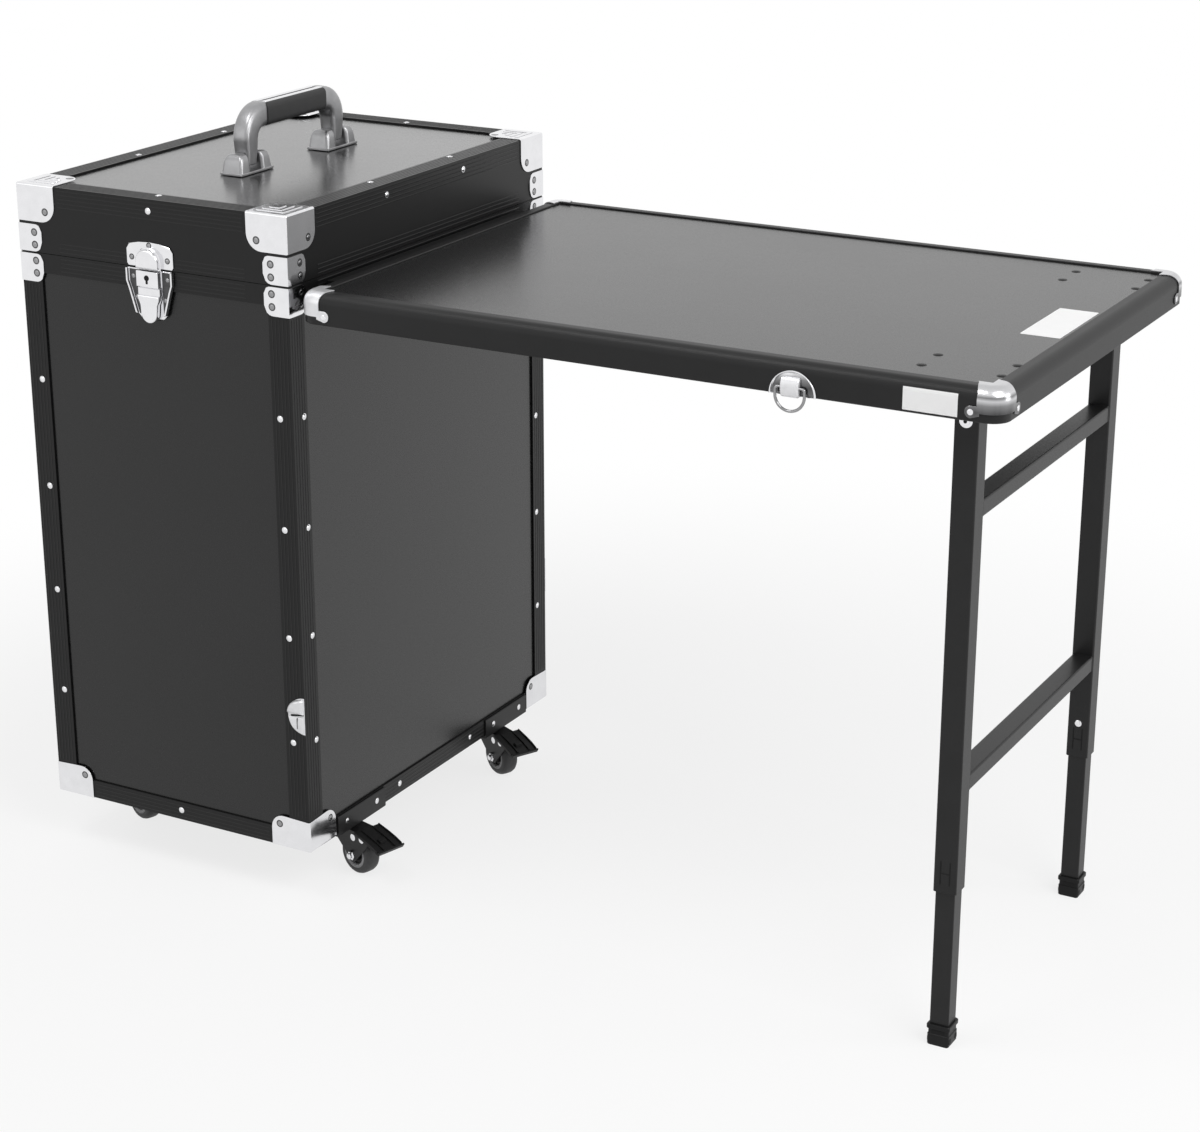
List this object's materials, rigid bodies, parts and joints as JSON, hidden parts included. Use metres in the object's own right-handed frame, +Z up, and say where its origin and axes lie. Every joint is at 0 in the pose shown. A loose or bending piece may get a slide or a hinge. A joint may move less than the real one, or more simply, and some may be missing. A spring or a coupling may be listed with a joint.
{
  "type": "salon trolley",
  "caption": "Rolling upright case with hinged lid, carry handle, draw latch and swivel casters, and a hook-on table with a rounded rim on a folding, telescoping leg frame.",
  "frame": {"origin": "on the floor, under the middle of the bounding box of the case and the set-up table", "axes": "+X from the case towards the table's far end, +Y from the latch side to the hinge side, +Z up"},
  "size_m": [1.1656, 0.5602, 0.8662],
  "materials": {
    "black_profile": "black anodised, fluted",
    "black_board": "fine-grained black laminate on board",
    "bright_steel": "bright plated, pressed sheet",
    "handle_metal": "satin silver-grey",
    "black_rubber": "matt black",
    "black_paint": "satin black powder coat",
    "black_plastic": "matt moulded",
    "wheel_grey": "matt dark grey"
  },
  "bodies": {
    "case": {"base_panel": "black_board", "front_panel": "black_board", "rear_panel": "black_board", "left_panel": "black_board", "right_panel": "black_board", "body_frame": "black_profile", "latch_base": "bright_steel", "turn_latch_keeper_front": "bright_steel", "turn_latch_keeper_rear": "bright_steel", "base_cap_front_left": "bright_steel", "base_cap_rear_left": "bright_steel", "base_cap_front_right": "bright_steel", "base_cap_rear_right": "bright_steel", "caster_plate_front_left": "black_paint", "caster_plate_rear_left": "black_paint", "caster_plate_front_right": "black_paint", "caster_plate_rear_right": "black_paint"},
    "lid": {"lid_panel": "black_board", "lid_frame": "black_profile", "latch_strike": "bright_steel", "handle_foot_front": "handle_metal", "handle_foot_rear": "handle_metal", "lid_cap_front_left": "bright_steel", "lid_cap_rear_left": "bright_steel", "lid_cap_front_right": "bright_steel", "lid_cap_rear_right": "bright_steel"},
    "handle": {"handle_arch": "handle_metal", "handle_grip": "black_rubber"},
    "lever": {"latch_lever": "bright_steel"},
    "table": {"table_board": "black_board", "table_rim": "black_profile", "leg_bracket_front": "black_paint", "leg_bracket_rear": "black_paint", "latch_dish_front": "bright_steel", "latch_dish_rear": "bright_steel", "table_cap_inner_front": "bright_steel", "table_cap_inner_rear": "bright_steel", "table_cap_outer_front": "bright_steel", "table_cap_outer_rear": "bright_steel"},
    "turn_core_front": {"latch_core_front": "bright_steel"},
    "turn_core_rear": {"latch_core_rear": "bright_steel"},
    "turn_ring_front": {"latch_ring_front": "bright_steel"},
    "turn_ring_rear": {"latch_ring_rear": "bright_steel"},
    "legs": {"leg_frame": "black_paint"},
    "lower_leg_front": {"inner_leg_front": "black_paint", "leg_shoe_front": "black_plastic"},
    "lower_leg_rear": {"inner_leg_rear": "black_paint", "leg_shoe_rear": "black_plastic"},
    "button_front": {"leg_button_front": "bright_steel"},
    "button_rear": {"leg_button_rear": "bright_steel"},
    "caster_front_left": {"caster_fork_front_left": "black_paint"},
    "wheel_front_left": {"caster_wheel_front_left": "wheel_grey"},
    "caster_rear_left": {"caster_fork_rear_left": "black_paint"},
    "wheel_rear_left": {"caster_wheel_rear_left": "wheel_grey"},
    "caster_front_right": {"caster_fork_front_right": "black_paint"},
    "wheel_front_right": {"caster_wheel_front_right": "wheel_grey"},
    "pedal_front_right": {"brake_pedal_front_right": "black_plastic"},
    "caster_rear_right": {"caster_fork_rear_right": "black_paint"},
    "wheel_rear_right": {"caster_wheel_rear_right": "wheel_grey"},
    "pedal_rear_right": {"brake_pedal_rear_right": "black_plastic"}
  },
  "joints": [
    {"name": "lid_hinge", "type": "hinge", "parent": "case", "child": "lid", "pos_m": [-0.4005, 0.272, 0.717], "axis": [-1, 0, 0], "range_deg": [0, 100]},
    {"name": "handle_fold", "type": "hinge", "parent": "lid", "child": "handle", "pos_m": [-0.4005, 0, 0.8077], "axis": [0, 1, 0], "range_deg": [-80, 80]},
    {"name": "latch_open", "type": "hinge", "parent": "case", "child": "lever", "pos_m": [-0.4005, -0.2711, 0.6945], "axis": [-1, 0, 0], "range_deg": [0, 80]},
    {"name": "table_lift", "type": "slide", "parent": "case", "child": "table", "axis": [0, 0, 1], "range_m": [0, 0.03]},
    {"name": "leg_fold", "type": "hinge", "parent": "table", "child": "legs", "pos_m": [0.527, 0, 0.669], "axis": [0, 1, 0], "range_deg": [0, 90]},
    {"name": "turn_latch_twist_front", "type": "hinge", "parent": "table", "child": "turn_core_front", "pos_m": [0.3665, -0.27685, 0.692], "axis": [0, -1, 0], "range_deg": [-90, 90]},
    {"name": "turn_latch_ring_front", "type": "hinge", "parent": "turn_core_front", "child": "turn_ring_front", "pos_m": [0.3665, -0.27685, 0.692], "axis": [-1, 0, 0], "range_deg": [0, 110]},
    {"name": "leg_length_front", "type": "slide", "parent": "legs", "child": "lower_leg_front", "axis": [0, 0, -1], "range_m": [0, 0.05]},
    {"name": "leg_button_front", "type": "slide", "parent": "legs", "child": "button_front", "axis": [0, -1, 0], "range_m": [0, 0.0013], "stiffness_N_per_m": 300},
    {"name": "turn_latch_twist_rear", "type": "hinge", "parent": "table", "child": "turn_core_rear", "pos_m": [0.3665, 0.27685, 0.692], "axis": [0, 1, 0], "range_deg": [-90, 90]},
    {"name": "turn_latch_ring_rear", "type": "hinge", "parent": "turn_core_rear", "child": "turn_ring_rear", "pos_m": [0.3665, 0.27685, 0.692], "axis": [1, 0, 0], "range_deg": [0, 110]},
    {"name": "leg_length_rear", "type": "slide", "parent": "legs", "child": "lower_leg_rear", "axis": [0, 0, -1], "range_m": [0, 0.05]},
    {"name": "leg_button_rear", "type": "slide", "parent": "legs", "child": "button_rear", "axis": [0, 1, 0], "range_m": [0, 0.0013], "stiffness_N_per_m": 300},
    {"name": "caster_swivel_front_left", "type": "hinge", "parent": "case", "child": "caster_front_left", "pos_m": [-0.5565, -0.163, 0.0544], "axis": [0, 0, 1], "continuous": true},
    {"name": "wheel_spin_front_left", "type": "hinge", "parent": "caster_front_left", "child": "wheel_front_left", "pos_m": [-0.52925, -0.17292, 0.025], "axis": [0.342, 0.9397, 0], "continuous": true},
    {"name": "caster_swivel_rear_left", "type": "hinge", "parent": "case", "child": "caster_rear_left", "pos_m": [-0.5565, 0.163, 0.0544], "axis": [0, 0, 1], "continuous": true},
    {"name": "wheel_spin_rear_left", "type": "hinge", "parent": "caster_rear_left", "child": "wheel_rear_left", "pos_m": [-0.52813, 0.15697, 0.025], "axis": [0.2079, 0.9781, 0], "continuous": true},
    {"name": "caster_swivel_front_right", "type": "hinge", "parent": "case", "child": "caster_front_right", "pos_m": [-0.2445, -0.163, 0.0544], "axis": [0, 0, 1], "continuous": true},
    {"name": "wheel_spin_front_right", "type": "hinge", "parent": "caster_front_right", "child": "wheel_front_right", "pos_m": [-0.21662, -0.17099, 0.025], "axis": [0.2756, 0.9613, 0], "continuous": true},
    {"name": "brake_press_front_right", "type": "hinge", "parent": "caster_front_right", "child": "pedal_front_right", "pos_m": [-0.20028, -0.17568, 0.0494], "axis": [0.2756, 0.9613, 0], "range_deg": [0, 12]},
    {"name": "caster_swivel_rear_right", "type": "hinge", "parent": "case", "child": "caster_rear_right", "pos_m": [-0.2445, 0.163, 0.0544], "axis": [0, 0, 1], "continuous": true},
    {"name": "wheel_spin_rear_right", "type": "hinge", "parent": "caster_rear_right", "child": "wheel_rear_right", "pos_m": [-0.21843, 0.15029, 0.025], "axis": [0.4384, 0.8988, 0], "continuous": true},
    {"name": "brake_press_rear_right", "type": "hinge", "parent": "caster_rear_right", "child": "pedal_rear_right", "pos_m": [-0.20316, 0.14283, 0.0494], "axis": [0.4384, 0.8988, 0], "range_deg": [0, 12]}
  ]
}
